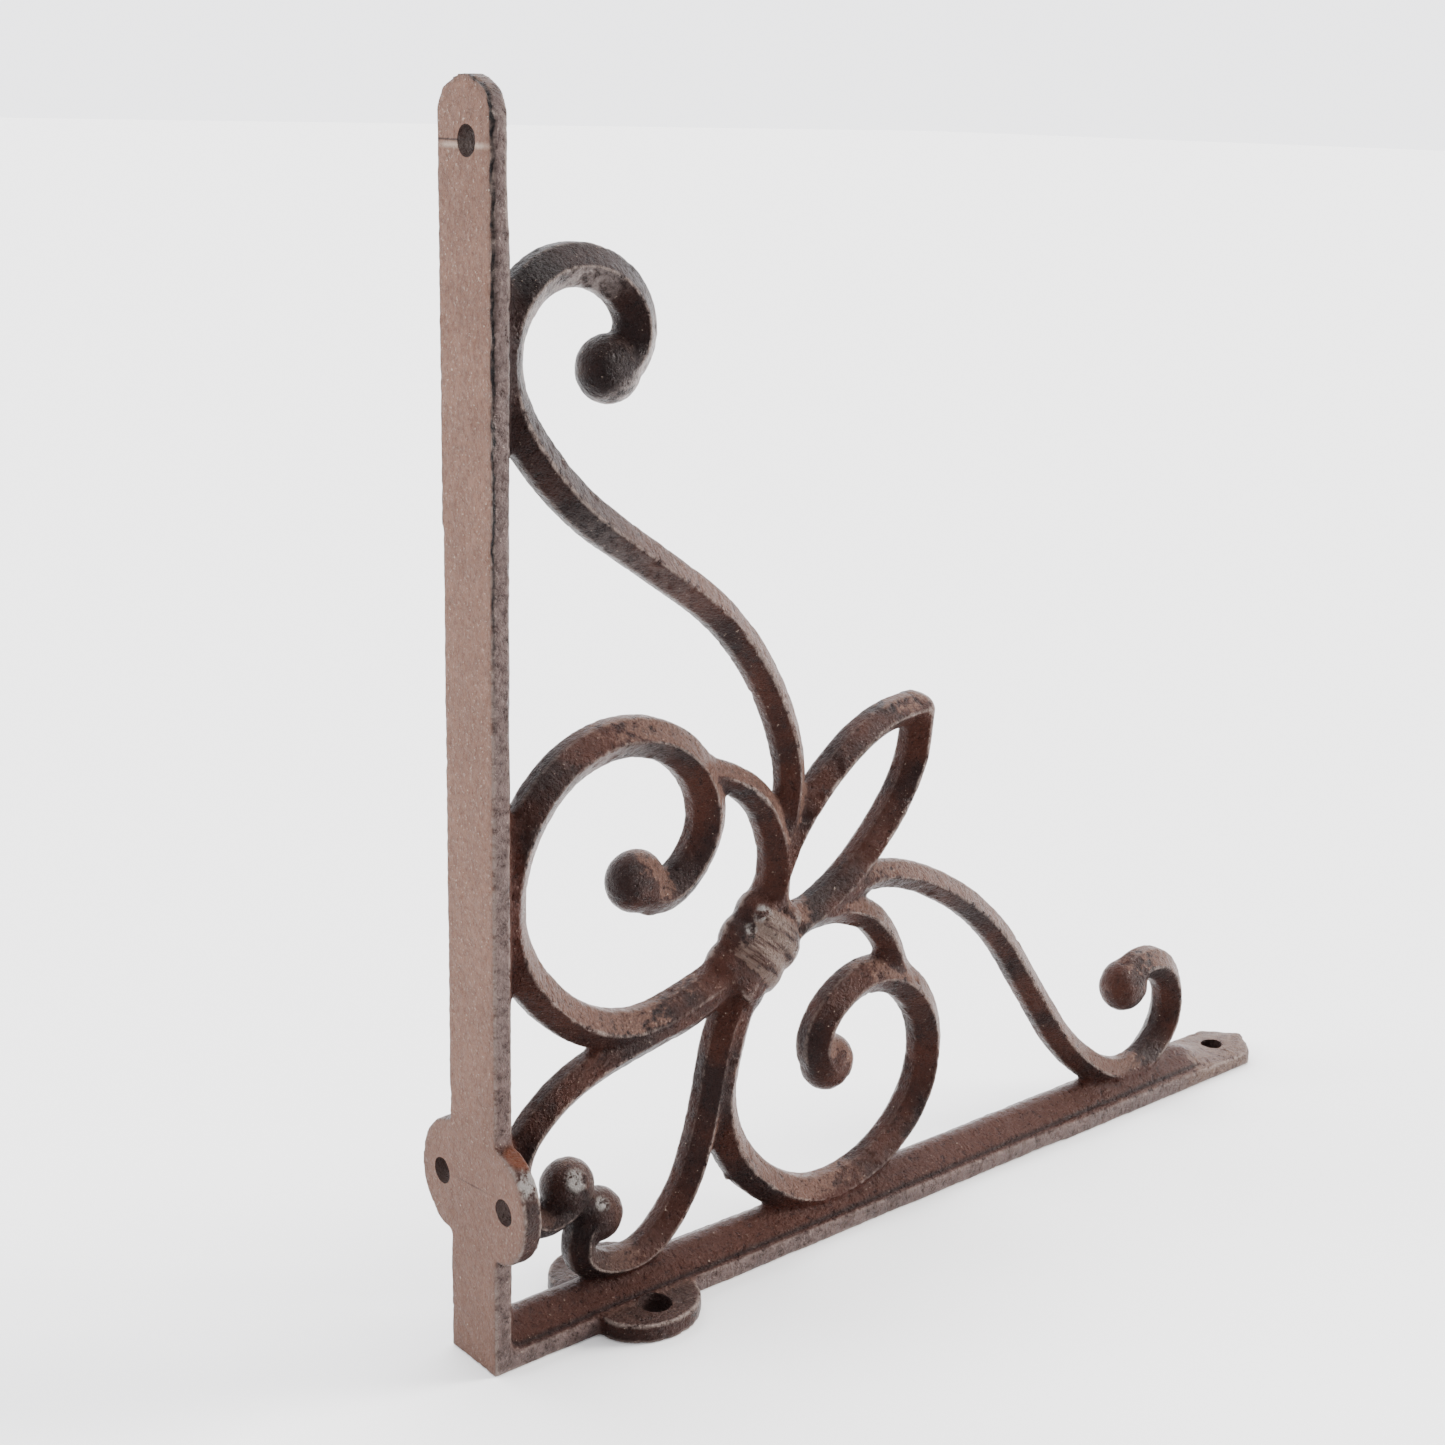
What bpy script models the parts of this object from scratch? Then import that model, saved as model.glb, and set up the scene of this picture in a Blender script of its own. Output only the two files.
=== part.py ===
"""Ornate cast iron shelf bracket: one casting, standing on its shelf leg with the wall leg upright.

The design is laid out in millimetres on the casting's middle plane. There x runs from the outer
corner along the shelf leg, z runs from the outer corner up the wall leg, and y is the depth. The
bars of the wall half are repeated on the shelf half by swapping x and z, because the casting is the
same on both sides of its 45 degree diagonal, but for small differences of hand work in the long
scroll, the leaf, one eye and the tips. In the finished part the origin is the middle of the
underside, and the scene is in metres.
"""
import math

import bmesh
import bpy

MM = 0.001

# Legs, in millimetres
LEG_LENGTH = 241.0
LEG_HALF_WIDTH = 7.8
TIP_HALF_WIDTH = 8.4
WIDENING_START = 140.0
EDGE_THICKNESS = 3.7
CREST_HEIGHT = 8.3
CREST_HALF_WIDTH = 1.0
SHOULDER_INSET = 1.0
CREST_END = 212.0
PLATE_START = 226.0
PLATE_HEIGHT = 4.3
PLATE_EDGE_THICKNESS = 3.5
TIP_ROUND_LENGTH = 6.6
TIP_SMALLEST_HALF_WIDTH = 1.6
WALL_TIP_POWER = 2.0
SHELF_TIP_POWER = 1.3
TIP_STEPS = 6
FALL_STEPS = 4
LEG_MIDDLE = [80.0, 110.0, 140.0, 175.0]

# Screw ears beside the corner, an ellipse in plan on each side of each leg
EAR_CENTRE = 36.8
EAR_HALF_LENGTH = 11.8
EAR_REACH = 17.6
EAR_STEPS = 12
EAR_THICKNESS = 4.0

# Screw holes, square to each outer face: in the tips at a distance from the corner and a depth, and in
# the ears, where they are countersunk from the inside
WALL_TIP_HOLE = (230.3, -1.0)
SHELF_TIP_HOLE = (229.3, 0.0)
TIP_HOLE_RADIUS = 2.7
EAR_HOLE = 36.8
EAR_HOLE_OFFSET = 10.5
EAR_HOLE_RADIUS = 2.65
EAR_HOLE_TOP = 5.2
COUNTERSINK_RADIUS = 4.1
COUNTERSINK_DEPTH = 2.2
CUTTER_OVERRUN = 2.0
HOLE_SIDES = 20

# Bars of the ornament
SIDE_SHARE = 0.3
CHORD_ERROR = 0.1
LONGEST_STEP = 9.0
TRACE_STEPS = 40
BALL_RINGS = 7
BALL_SIDES = 12

# Each bar passes through nodes of x, z and heading in degrees from the x direction. The pairs under
# width and depth are the half width and the half depth where it starts and where it ends.
BARS = {
    "long_scroll": {
        "nodes": [
            (75.0, 88.0, 84), (77.6, 105.5, 93), (71.2, 124.8, 118), (59.2, 140.8, 135),
            (43.0, 153.0, 145), (28.0, 163.4, 144), (15.4, 175.6, 129), (7.3, 193.0, 90),
            (21.9, 209.6, 0), (36.5, 197.6, -90), (32.0, 190.8, -160),
        ],
        "width": (3.4, 4.1),
        "depth": (4.2, 5.4),
    },
    "ring": {
        "nodes": [
            (69.0, 70.5, 205), (54.5, 63.9, 196), (39.5, 60.7, 180), (17.3, 71.3, 133),
            (7.6, 91.5, 90), (33.5, 121.3, 0), (55.6, 101.7, -90), (50.3, 90.8, -135),
            (43.2, 87.6, -178), (38.6, 89.4, 150),
        ],
        "width": (4.0, 4.1),
        "depth": (5.0, 5.3),
    },
    "hook": {
        "nodes": [
            (50.5, 115.0, -42), (57.3, 110.0, -24), (65.5, 105.6, -38), (71.4, 98.6, -66),
            (74.2, 90.5, -84), (73.6, 79.0, -98),
        ],
        "width": (3.0, 3.8),
        "depth": (4.0, 5.2),
    },
    "leaf_edge": {
        "nodes": [(70.8, 76.4, 64), (78.5, 93.3, 56), (88.3, 104.4, 42), (101.6, 113.0, 22),
                  (113.4, 115.0, 6)],
        "width": (3.5, 3.3),
        "depth": (5.2, 5.0),
    },
    "stem": {
        "nodes": [
            (66.0, 67.0, 205), (50.0, 59.8, 192), (38.0, 57.4, 192), (24.0, 53.2, 203),
            (13.6, 46.0, 226), (9.5, 36.6, 270), (16.5, 24.9, 0), (23.0, 28.0, 65),
        ],
        "width": (3.6, 3.2),
        "depth": (4.8, 4.8),
    },
}

# The long scroll as it is on the shelf half, still given the wall half's way round
SHELF_LONG_SCROLL = {
    "nodes": [
        (75.4, 86.0, 84), (78.6, 104.0, 95), (70.6, 124.8, 121), (58.4, 140.4, 135),
        (42.6, 152.8, 145), (28.0, 163.4, 144), (15.4, 175.6, 129), (7.3, 193.0, 90),
        (21.6, 208.8, 0), (34.8, 197.6, -90), (31.4, 190.8, -160),
    ],
    "width": (3.1, 4.0),
    "depth": (4.0, 5.2),
}

# The shelf side's edge of the leaf, also given the wall half's way round
SHELF_LEAF_EDGE = {
    "nodes": [(71.0, 76.0, 64), (79.0, 92.6, 56), (88.8, 103.6, 42), (102.0, 112.2, 22),
              (113.8, 114.0, 6)],
    "width": (3.5, 3.7),
    "depth": (5.2, 5.0),
}
SHELF_BARS = {**BARS, "long_scroll": SHELF_LONG_SCROLL, "leaf_edge": SHELF_LEAF_EDGE}

# Eyes of the curls and the leaf's point: x, z, radius and half depth
EYES = {
    "long_scroll_eye": (30.6, 191.0, 6.5, 5.6),
    "ring_eye": (38.2, 91.4, 6.4, 5.4),
    "stem_eye": (22.2, 30.8, 5.8, 5.2),
}
SHELF_EYES = {**EYES, "stem_eye": (22.2, 29.5, 5.8, 5.2)}
LEAF_POINT = (113.4, 114.4, 3.4, 4.8)

# The collar's three beads: distance along the diagonal, half width and half depth
COLLAR = [
    (88.2, 7.4, 5.6), (91.2, 9.6, 7.0), (94.1, 8.9, 6.3), (97.1, 10.7, 7.6),
    (100.0, 9.6, 6.8), (102.9, 10.9, 7.7), (106.4, 7.8, 5.7),
]
COLLAR_SIDES = 12
COLLAR_POWER = 1.6


def clear_scene():
    for item in list(bpy.data.objects):
        bpy.data.objects.remove(item, do_unlink=True)


def to_scene(x, y, z):
    """Layout millimetres to scene metres, with the origin in the middle of the underside."""
    return ((x - LEG_LENGTH / 2) * MM, y * MM, z * MM)


def swapped(point):
    return (point[2], point[1], point[0])


def cast_iron():
    material = bpy.data.materials.new("cast_iron_patina")
    material.use_nodes = True
    shader = material.node_tree.nodes["Principled BSDF"]
    shader.inputs["Base Color"].default_value = (0.105, 0.052, 0.040, 1.0)
    shader.inputs["Roughness"].default_value = 0.62
    shader.inputs["Metallic"].default_value = 0.35
    return material


def finish_mesh(name, mesh_builder):
    """Close the normals outwards and make an object of a bmesh."""
    bmesh.ops.remove_doubles(mesh_builder, verts=mesh_builder.verts, dist=1e-7)
    bmesh.ops.recalc_face_normals(mesh_builder, faces=mesh_builder.faces)
    mesh = bpy.data.meshes.new(name)
    mesh_builder.to_mesh(mesh)
    mesh_builder.free()
    shape = bpy.data.objects.new(name, mesh)
    bpy.context.collection.objects.link(shape)
    return shape


def loft(name, rings):
    """A closed body through rings of points, capped at both ends."""
    builder = bmesh.new()
    loops = [[builder.verts.new(to_scene(*point)) for point in ring] for ring in rings]
    count = len(loops[0])
    for near, far in zip(loops, loops[1:]):
        for k in range(count):
            following = (k + 1) % count
            builder.faces.new((near[k], near[following], far[following], far[k]))
    builder.faces.new(loops[0])
    builder.faces.new(list(reversed(loops[-1])))
    return finish_mesh(name, builder)


def heading_vector(degrees):
    return math.cos(math.radians(degrees)), math.sin(math.radians(degrees))


def piece_points(start, end):
    """Points on the cubic from one node to the next, close to an ellipse on a quarter turn."""
    x0, z0, heading0 = start
    x1, z1, heading1 = end
    turn = abs((heading1 - heading0 + 180) % 360 - 180)
    angle = math.radians(max(turn, 1.0))
    fullness = 4 / 3 * math.tan(angle / 4) / math.sin(angle) if turn < 150 else 0.9
    ux, uz = heading_vector(heading0)
    vx, vz = heading_vector(heading1)
    first = max(abs((x1 - x0) * ux + (z1 - z0) * uz), 0.3) * fullness
    second = max(abs((x1 - x0) * vx + (z1 - z0) * vz), 0.3) * fullness
    a, b = (x0, z0), (x0 + ux * first, z0 + uz * first)
    c, d = (x1 - vx * second, z1 - vz * second), (x1, z1)
    points = []
    for k in range(TRACE_STEPS):
        t = k / TRACE_STEPS
        s = 1 - t
        weights = (s ** 3, 3 * s * s * t, 3 * s * t * t, t ** 3)
        points.append(tuple(sum(w * p[i] for w, p in zip(weights, (a, b, c, d))) for i in (0, 1)))
    return points


def trace(nodes):
    """A fine line of points through the nodes."""
    points = []
    for start, end in zip(nodes, nodes[1:]):
        points += piece_points(start, end)
    points.append(nodes[-1][:2])
    return points


def stations(points):
    """Pick points closer together where the bar turns sharply: (x, z, unit normal, share of length)."""
    lengths = [0.0]
    for (x0, z0), (x1, z1) in zip(points, points[1:]):
        lengths.append(lengths[-1] + math.hypot(x1 - x0, z1 - z0))
    headings = [math.atan2(z1 - z0, x1 - x0) for (x0, z0), (x1, z1) in zip(points, points[1:])]
    effort = [0.0]
    for k in range(1, len(points)):
        span = lengths[k] - lengths[k - 1]
        lo = max(k - 4, 0)
        hi = min(k + 2, len(headings) - 1)
        turn = abs((headings[hi] - headings[lo] + math.pi) % (2 * math.pi) - math.pi)
        radius = max((lengths[hi] - lengths[lo]) / max(turn, 1e-4), 1.0)
        step = min(math.sqrt(8 * radius * CHORD_ERROR), LONGEST_STEP)
        effort.append(effort[-1] + span / step)
    count = max(math.ceil(effort[-1]), 2)
    chosen = []
    k = 0
    for n in range(count + 1):
        target = effort[-1] * n / count
        while k < len(points) - 2 and effort[k + 1] < target:
            k += 1
        share = (target - effort[k]) / max(effort[k + 1] - effort[k], 1e-9)
        share = min(max(share, 0.0), 1.0)
        x = points[k][0] + (points[k + 1][0] - points[k][0]) * share
        z = points[k][1] + (points[k + 1][1] - points[k][1]) * share
        here = lengths[k] + (lengths[k + 1] - lengths[k]) * share
        chosen.append((x, z, headings[min(k, len(headings) - 1)], here / lengths[-1]))
    return chosen


def bar_section(half_width, half_depth):
    """A bar's section as (across, out): narrow flat sides, and an arris down the middle of each face."""
    side = half_depth * SIDE_SHARE
    return [
        (half_width, -side), (half_width, side), (0.0, half_depth),
        (-half_width, side), (-half_width, -side), (0.0, -half_depth),
    ]


def collar_section(half_width, half_depth):
    """The collar's section as (across, out), rounder than a bar's."""
    section = []
    for k in range(COLLAR_SIDES):
        c = math.cos(2 * math.pi * k / COLLAR_SIDES)
        s = math.sin(2 * math.pi * k / COLLAR_SIDES)
        across = math.copysign(abs(c) ** (2 / COLLAR_POWER), c) * half_width
        out = math.copysign(abs(s) ** (2 / COLLAR_POWER), s) * half_depth
        section.append((across, out))
    return section


def placed(section, x, z, heading):
    """A section set square to its bar at x, z."""
    nx, nz = -math.sin(heading), math.cos(heading)
    return [(x + nx * across, out, z + nz * across) for across, out in section]


def bar(name, nodes, width, depth, other_half):
    rings = []
    for x, z, heading, share in stations(trace(nodes)):
        half_width = width[0] + (width[1] - width[0]) * share
        half_depth = depth[0] + (depth[1] - depth[0]) * share
        ring = placed(bar_section(half_width, half_depth), x, z, heading)
        rings.append([swapped(point) for point in ring] if other_half else ring)
    return loft(name, rings)


def eye(name, x, z, radius, half_depth, other_half):
    """A button eye: a ball pressed flatter than it is wide."""
    builder = bmesh.new()
    bmesh.ops.create_uvsphere(builder, u_segments=BALL_SIDES, v_segments=BALL_RINGS, radius=1.0)
    for vertex in builder.verts:
        u, v, w = vertex.co
        point = (x + radius * u, half_depth * w, z + radius * v)
        vertex.co = to_scene(*(swapped(point) if other_half else point))
    return finish_mesh(name, builder)


def collar():
    rings = []
    for distance, half_width, half_depth in COLLAR:
        along = distance / math.sqrt(2)
        rings.append(placed(collar_section(half_width, half_depth), along, along, math.pi / 4))
    return loft("collar", rings)


def eased(u, start, end):
    """From 0 at the start to 1 at the end, with no kink at either."""
    share = min(max((u - start) / (end - start), 0.0), 1.0)
    return 3 * share ** 2 - 2 * share ** 3


def plain_half_width(u):
    """Half the leg's width without its ear and tip. It grows a little towards the tip."""
    return LEG_HALF_WIDTH + (TIP_HALF_WIDTH - LEG_HALF_WIDTH) * eased(u, WIDENING_START, CREST_END)


def leg_half_width(u, tip_power):
    """Half the leg's width at u from the corner, with its ear and its rounded tip.

    The tip is an arch at a power of 2 and a gable at 1.
    """
    plain = plain_half_width(u)
    share = (u - LEG_LENGTH) / TIP_ROUND_LENGTH + 1
    if share > 0:
        arch = max(1 - min(share, 1.0) ** tip_power, 0.0) ** (1 / tip_power)
        return max(plain * arch, TIP_SMALLEST_HALF_WIDTH)
    share = abs(u - EAR_CENTRE) / EAR_HALF_LENGTH
    if share < 1:
        return plain + (EAR_REACH - plain) * math.sqrt(1 - share * share)
    return plain


def leg_section(u, tip_power):
    """Half section of a leg as (y, height over the outer face), from the outer face to the crest."""
    plain = plain_half_width(u)
    half_width = leg_half_width(u, tip_power)
    fall = eased(u, CREST_END, PLATE_START)
    crest = CREST_HEIGHT + (PLATE_HEIGHT - CREST_HEIGHT) * fall
    side = EDGE_THICKNESS + (PLATE_EDGE_THICKNESS - EDGE_THICKNESS) * fall
    slope = (crest - side) / (plain - CREST_HALF_WIDTH)
    narrow = min(half_width / plain, 1.0)
    in_ear = half_width > plain
    return [
        (half_width, 0.0),
        (half_width, EAR_THICKNESS if in_ear else side),
        ((plain - SHOULDER_INSET) * narrow, side + SHOULDER_INSET * slope),
        (CREST_HALF_WIDTH * narrow, crest),
    ]


def full_section(half):
    """Both sides of a leg's section, in order round it."""
    return [(y, h) for y, h in half] + [(-y, h) for y, h in reversed(half)]


def leg_positions():
    """Places along a leg where its section is drawn, from the ear to the tip."""
    ear = []
    for k in range(EAR_STEPS + 1):
        ear.append(EAR_CENTRE - EAR_HALF_LENGTH * math.cos(math.pi * k / EAR_STEPS))
    fall = [CREST_END + (PLATE_START - CREST_END) * k / FALL_STEPS for k in range(FALL_STEPS + 1)]
    tip = []
    for k in range(TIP_STEPS + 1):
        share = math.sin(math.pi / 2 * k / TIP_STEPS)
        tip.append(LEG_LENGTH - TIP_ROUND_LENGTH * (1 - share))
    return ear + LEG_MIDDLE + fall + tip


def legs():
    """Both legs as one angle, mitred at the corner."""
    positions = leg_positions()
    rings = []
    for u in reversed(positions):
        rings.append([(h, y, u) for y, h in full_section(leg_section(u, WALL_TIP_POWER))])
    rings.append([(h, y, h) for y, h in full_section(leg_section(0.0, WALL_TIP_POWER))])
    for u in positions:
        rings.append([(u, y, h) for y, h in full_section(leg_section(u, SHELF_TIP_POWER))])
    return loft("bracket", rings)


def plain_hole(top):
    """Profile of a straight hole as (radius, height)."""
    return [(TIP_HOLE_RADIUS, -CUTTER_OVERRUN), (TIP_HOLE_RADIUS, top + CUTTER_OVERRUN)]


def countersunk_hole(top):
    return [
        (EAR_HOLE_RADIUS, -CUTTER_OVERRUN), (EAR_HOLE_RADIUS, top - COUNTERSINK_DEPTH),
        (COUNTERSINK_RADIUS, top), (COUNTERSINK_RADIUS, top + CUTTER_OVERRUN),
    ]


def cutter(name, u, y, profile, other_half):
    """A cutter for one screw hole, running right through the leg."""
    rings = []
    for radius, height in profile:
        ring = []
        for k in range(HOLE_SIDES):
            angle = 2 * math.pi * (k + 0.5) / HOLE_SIDES
            point = (height, y + radius * math.cos(angle), u + radius * math.sin(angle))
            ring.append(swapped(point) if other_half else point)
        rings.append(ring)
    return loft(name, rings)


def combine(target, operation, other):
    modifier = target.modifiers.new(other.name, "BOOLEAN")
    modifier.operation = operation
    modifier.solver = "EXACT"
    modifier.object = other
    other.hide_render = True
    other.display_type = "WIRE"


def build():
    clear_scene()
    bracket = legs()
    bracket.data.materials.append(cast_iron())
    combine(bracket, "UNION", collar())
    halves = (("wall", False, BARS, EYES), ("shelf", True, SHELF_BARS, SHELF_EYES))
    for side, other_half, bars, eyes in halves:
        for name, shape in bars.items():
            made = bar(f"{name}_{side}", shape["nodes"], shape["width"], shape["depth"], other_half)
            combine(bracket, "UNION", made)
        for name, place in eyes.items():
            combine(bracket, "UNION", eye(f"{name}_{side}", *place, other_half))
    combine(bracket, "UNION", eye("leaf_point", *LEAF_POINT, False))
    for side, other_half, place in (("wall", False, WALL_TIP_HOLE), ("shelf", True, SHELF_TIP_HOLE)):
        tip = cutter(f"tip_hole_{side}", *place, plain_hole(PLATE_HEIGHT), other_half)
        combine(bracket, "DIFFERENCE", tip)
        for label, y in (("near", -EAR_HOLE_OFFSET), ("far", EAR_HOLE_OFFSET)):
            profile = countersunk_hole(EAR_HOLE_TOP)
            ear = cutter(f"ear_hole_{label}_{side}", EAR_HOLE, y, profile, other_half)
            combine(bracket, "DIFFERENCE", ear)


build()
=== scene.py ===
"""Looks of the ornate cast iron shelf bracket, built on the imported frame.

The casting is one piece. It is drawn again from the same named nodes as the solid, but finer, fused
into one skin, filleted where bars meet, roughened like sand-cast iron and cut through for the screws.
Shapes are laid out in millimetres: x along the shelf leg and z up the wall leg, both from the outer
corner, and y is the depth. The scene itself is in metres with its origin in the middle of the
underside.
"""
import math

import bmesh
import bpy
import numpy as np
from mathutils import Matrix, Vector, noise
from mathutils.kdtree import KDTree


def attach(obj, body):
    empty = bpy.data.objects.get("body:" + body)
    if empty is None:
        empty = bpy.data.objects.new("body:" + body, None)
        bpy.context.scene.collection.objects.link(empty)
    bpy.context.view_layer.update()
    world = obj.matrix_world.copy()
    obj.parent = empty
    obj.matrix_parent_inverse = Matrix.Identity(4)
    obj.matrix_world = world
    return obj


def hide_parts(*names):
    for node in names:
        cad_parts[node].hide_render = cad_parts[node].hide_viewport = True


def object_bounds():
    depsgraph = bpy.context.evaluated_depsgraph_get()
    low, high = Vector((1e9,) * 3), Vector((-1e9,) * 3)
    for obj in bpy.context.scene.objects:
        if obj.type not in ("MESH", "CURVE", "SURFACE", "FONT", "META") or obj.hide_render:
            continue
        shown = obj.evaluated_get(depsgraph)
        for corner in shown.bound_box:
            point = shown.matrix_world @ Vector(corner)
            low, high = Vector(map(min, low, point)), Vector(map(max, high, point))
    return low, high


MM = 0.001

# Legs, in millimetres
LEG_LENGTH = 241.0
LEG_HALF_WIDTH = 7.8
TIP_HALF_WIDTH = 8.4
WIDENING_START = 140.0
EDGE_THICKNESS = 3.7
CREST_HEIGHT = 8.3
CREST_HALF_WIDTH = 1.0
SHOULDER_INSET = 1.0
CREST_END = 212.0
PLATE_START = 226.0
PLATE_HEIGHT = 4.3
PLATE_EDGE_THICKNESS = 3.5
TIP_ROUND_LENGTH = 6.6
TIP_SMALLEST_HALF_WIDTH = 1.6
WALL_TIP_POWER = 2.0
SHELF_TIP_POWER = 1.3
TIP_STEPS = 10
FALL_STEPS = 8
LEG_MIDDLE = [80.0, 110.0, 140.0, 175.0]

# Screw ears
EAR_CENTRE = 36.8
EAR_HALF_LENGTH = 11.8
EAR_REACH = 17.6
EAR_STEPS = 24
EAR_THICKNESS = 4.0

# Screw holes. The tips' holes are placed by distance from the corner and depth
WALL_TIP_HOLE = (230.3, -1.0)
SHELF_TIP_HOLE = (229.3, 0.0)
TIP_HOLE_RADIUS = 2.7
EAR_HOLE = 36.8
EAR_HOLE_OFFSET = 10.5
EAR_HOLE_RADIUS = 2.65
EAR_HOLE_TOP = 5.2
COUNTERSINK_RADIUS = 4.1
COUNTERSINK_DEPTH = 2.2
CUTTER_OVERRUN = 2.0
HOLE_SIDES = 40

# Bars of the ornament
SIDE_SHARE = 0.3
STATION_STEP = 0.8
TRACE_STEPS = 60
LEAST_TURN = 1.0
SHARP_TURN = 150.0
SHARP_FULLNESS = 0.9
LEAST_REACH = 0.3
BALL_RINGS = 20
BALL_SIDES = 32

# Each bar passes through nodes of x, z and heading in degrees from the x direction. The pairs under
# width and depth are the half width and the half depth where it starts and where it ends.
BARS = {
    "long_scroll": {
        "nodes": [
            (75.0, 88.0, 84), (77.6, 105.5, 93), (71.2, 124.8, 118), (59.2, 140.8, 135),
            (43.0, 153.0, 145), (28.0, 163.4, 144), (15.4, 175.6, 129), (7.3, 193.0, 90),
            (21.9, 209.6, 0), (36.5, 197.6, -90), (32.0, 190.8, -160),
        ],
        "width": (3.4, 4.1),
        "depth": (4.2, 5.4),
    },
    "ring": {
        "nodes": [
            (69.0, 70.5, 205), (54.5, 63.9, 196), (39.5, 60.7, 180), (17.3, 71.3, 133),
            (7.6, 91.5, 90), (33.5, 121.3, 0), (55.6, 101.7, -90), (50.3, 90.8, -135),
            (43.2, 87.6, -178), (38.6, 89.4, 150),
        ],
        "width": (4.0, 4.1),
        "depth": (5.0, 5.3),
    },
    "hook": {
        "nodes": [
            (50.5, 115.0, -42), (57.3, 110.0, -24), (65.5, 105.6, -38), (71.4, 98.6, -66),
            (74.2, 90.5, -84), (73.6, 79.0, -98),
        ],
        "width": (3.0, 3.8),
        "depth": (4.0, 5.2),
    },
    "leaf_edge": {
        "nodes": [(70.8, 76.4, 64), (78.5, 93.3, 56), (88.3, 104.4, 42), (101.6, 113.0, 22),
                  (113.4, 115.0, 6)],
        "width": (3.5, 3.3),
        "depth": (5.2, 5.0),
    },
    "stem": {
        "nodes": [
            (66.0, 67.0, 205), (50.0, 59.8, 192), (38.0, 57.4, 192), (24.0, 53.2, 203),
            (13.6, 46.0, 226), (9.5, 36.6, 270), (16.5, 24.9, 0), (23.0, 28.0, 65),
        ],
        "width": (3.6, 3.2),
        "depth": (4.8, 4.8),
    },
}

# The long scroll as it is on the shelf half, still given the wall half's way round
SHELF_LONG_SCROLL = {
    "nodes": [
        (75.4, 86.0, 84), (78.6, 104.0, 95), (70.6, 124.8, 121), (58.4, 140.4, 135),
        (42.6, 152.8, 145), (28.0, 163.4, 144), (15.4, 175.6, 129), (7.3, 193.0, 90),
        (21.6, 208.8, 0), (34.8, 197.6, -90), (31.4, 190.8, -160),
    ],
    "width": (3.1, 4.0),
    "depth": (4.0, 5.2),
}

# The shelf side's edge of the leaf, also given the wall half's way round
SHELF_LEAF_EDGE = {
    "nodes": [(71.0, 76.0, 64), (79.0, 92.6, 56), (88.8, 103.6, 42), (102.0, 112.2, 22),
              (113.8, 114.0, 6)],
    "width": (3.5, 3.7),
    "depth": (5.2, 5.0),
}
SHELF_BARS = {**BARS, "long_scroll": SHELF_LONG_SCROLL, "leaf_edge": SHELF_LEAF_EDGE}

# Eyes of the curls and the leaf's point: x, z, radius and half depth
EYES = {
    "long_scroll_eye": (30.6, 191.0, 6.5, 5.6),
    "ring_eye": (38.2, 91.4, 6.4, 5.4),
    "stem_eye": (22.2, 30.8, 5.8, 5.2),
}
SHELF_EYES = {**EYES, "stem_eye": (22.2, 29.5, 5.8, 5.2)}
LEAF_POINT = (113.4, 114.4, 3.4, 4.8)

# The collar's three beads: middle along the diagonal, half width and half depth
BEADS = [(91.3, 9.6, 7.0), (97.2, 10.7, 7.6), (103.0, 10.9, 7.7)]
BEAD_HALF_LENGTH = 3.3
BEAD_GROOVE = 0.19
COLLAR_START = 88.2
COLLAR_END = 106.2
COLLAR_SKEW = 0.14
COLLAR_SIDES = 32
COLLAR_POWER = 1.45
COLLAR_RINGS = 60

# Small lumps of metal, as x, z, radius and half depth: the web between the stem eyes, the throat of the
# leaf, and two nubs that the mould left on the ring and the stem of the shelf half
LUMPS = {
    "eye_web": (26.5, 26.5, 3.4, 3.0),
    "leaf_throat": (76.0, 76.0, 3.4, 6.4),
    "ring_nub": (63.9, 19.3, 0.9, 0.8),
    "stem_nub": (53.4, 17.1, 1.0, 1.2),
}

# Skin of the casting, in millimetres. Fillets fill a share of each hollow, less of it on the collar
VOXEL = 0.5
SMOOTHING_SHARE = 0.5
SOFTEN_ROUNDS = 3
FILLET_ROUNDS = 44
FILLET_SHARE = 0.45
COLLAR_SPARED = 0.85
ARRIS_ROUNDS = 12
HOLLOW_ROUNDS = 90
MOST_TRIANGLES = 186000
BOX_MARGIN = 0.01
RIM_DEGREES = 40.0

# Zones of the skin: limits of the height over a leg's outer face, of the depth to each side and of
# the distance along the leg
FACE_SKIN = 0.7
FACE_FACING = (0.75, 0.95)
EAR_SIDE = (8.0, 8.8)
EAR_TOP = 5.5
EAR_ZONE_END = 60.0
STRIP_SIDE = 6.9
STRIP_TOP = 4.4
PLATE_ZONE_START = 214.0
PLATE_TOP = 6.5
SLOPE_SIDE = 7.6
SLOPE_TOP = 8.9
LEG_SIDE = 8.2
LEG_TOP = 7.0
SIDE_FACING = (0.6, 0.9)
COLLAR_SIDE = 13.0
# How far the pale film, painted light on the collar's lit side, reaches round the collar
COLLAR_LIT_SIDE = (-13.0, -7.0)

# Rounds that each zone's border is softened by
BORDER_ROUNDS = {
    "collar": 3, "flat": 3, "plate": 4, "strip": 3, "slope": 3, "up": 2, "floor_reflection": 2, "arris": 1, "crease": 1,
}

# How much a facet faces along x and z to hold the pale film, partly dust and partly painted light on the
# facets that face the key, or to take the painted reflection of the white floor, and where that reflection is
# painted
LIT_FILM_FACING = (0.85, 0.5)
LIT_FILM_FACING_RANGE = (0.05, 0.55)
FLOOR_REFLECTION_FACING = (0.6, -0.8)
FLOOR_REFLECTION_FACING_RANGE = (0.1, 0.5)
FLOOR_REFLECTION_RISE = (60.0, 150.0)
FLOOR_REFLECTION_LEAST_HEIGHT = 9.5

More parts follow.
